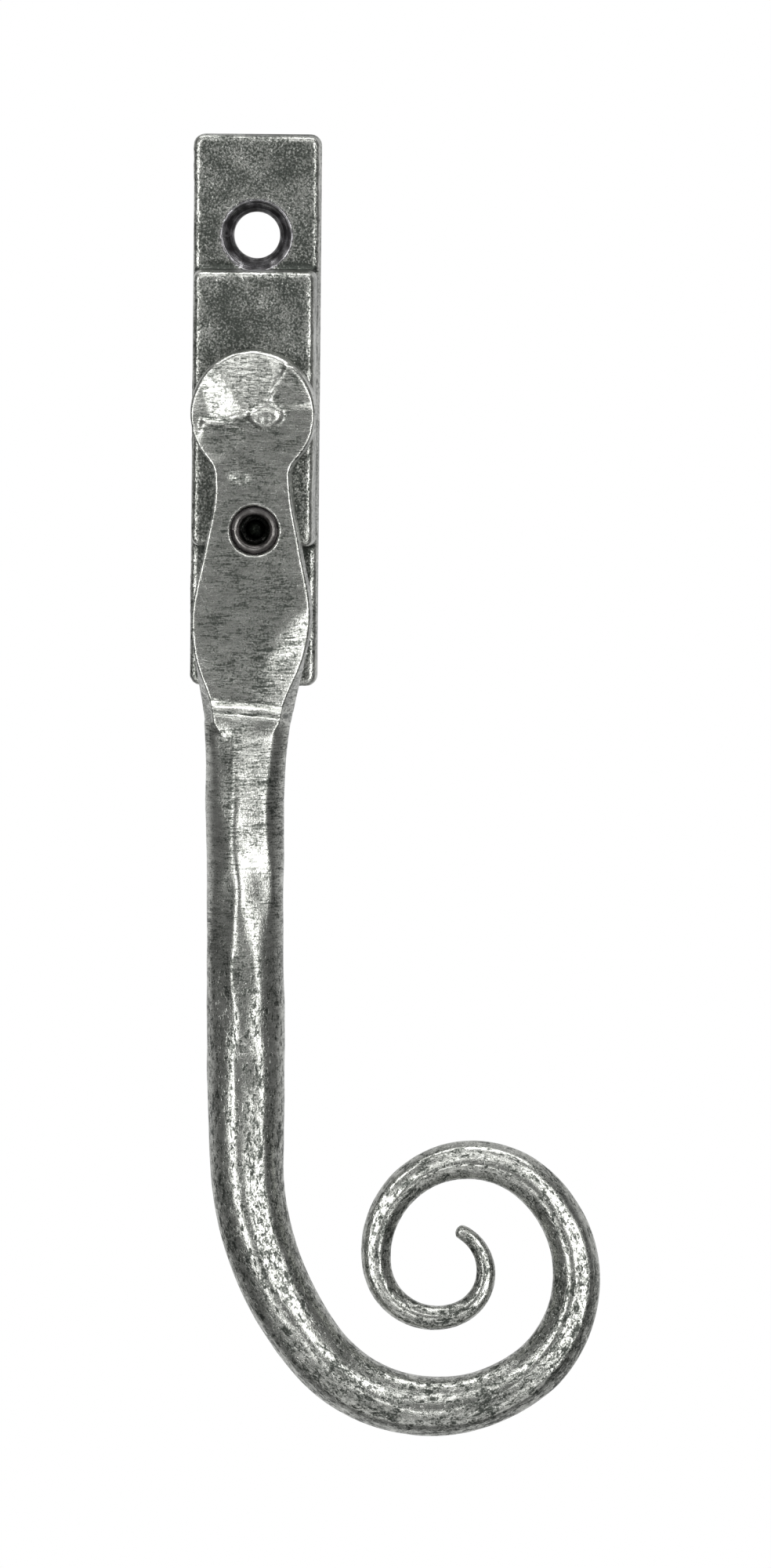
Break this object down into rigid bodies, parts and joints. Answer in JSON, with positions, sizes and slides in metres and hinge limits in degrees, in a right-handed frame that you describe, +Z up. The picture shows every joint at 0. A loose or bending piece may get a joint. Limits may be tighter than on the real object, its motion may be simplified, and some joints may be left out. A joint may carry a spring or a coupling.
{
  "type": "locking espagnolette window handle",
  "caption": "Slim locking casement window handle: raised back plate, forged lever with a curled tail on a square spindle.",
  "frame": {"origin": "on the spindle's axis, in the plane of the mounting face, midway between the two fixing holes", "axes": "+Z up the plate, +Y into the window frame along the spindle, +X to the right seen from the room, the side that the curl is on"},
  "size_m": [0.0516, 0.0624, 0.1586],
  "materials": {
    "cast_plate": "pewter patina over a sand-cast face, edges rubbed bright",
    "pressed_steel": "plain zinc-grey pressed steel",
    "screw_steel": "dull plated steel",
    "bush_brass": "plain turned brass",
    "spring_steel": "blued spring steel",
    "forged_pewter": "hand-forged steel with a pewter patina, filed and hammered, dark in the hollows",
    "spindle_steel": "plain zinc-plated square bar",
    "washer_steel": "dark oiled steel",
    "lock_screw_steel": "blackened steel"
  },
  "bodies": {
    "plate": {"base_housing": "cast_plate", "back_plate": "pressed_steel", "back_plate_screws": "screw_steel", "spindle_bush": "bush_brass", "detent_spring_left": "spring_steel", "detent_spring_right": "spring_steel"},
    "handle": {"lever": "forged_pewter", "spindle": "spindle_steel", "indexing_cam": "spindle_steel", "thrust_washer": "washer_steel", "disc_spring": "spring_steel"},
    "lock": {"lock_screw": "lock_screw_steel"}
  },
  "joints": [
    {"name": "lever_turn", "type": "hinge", "parent": "plate", "child": "handle", "pos_m": [0, 0, 0], "axis": [0, -1, 0], "range_deg": [0, 90], "deforming": ["detent_spring_left", "detent_spring_right"]},
    {"name": "lock_screw_travel", "type": "slide", "parent": "handle", "child": "lock", "axis": [0, 1, 0], "range_m": [0, 0.0018]}
  ]
}
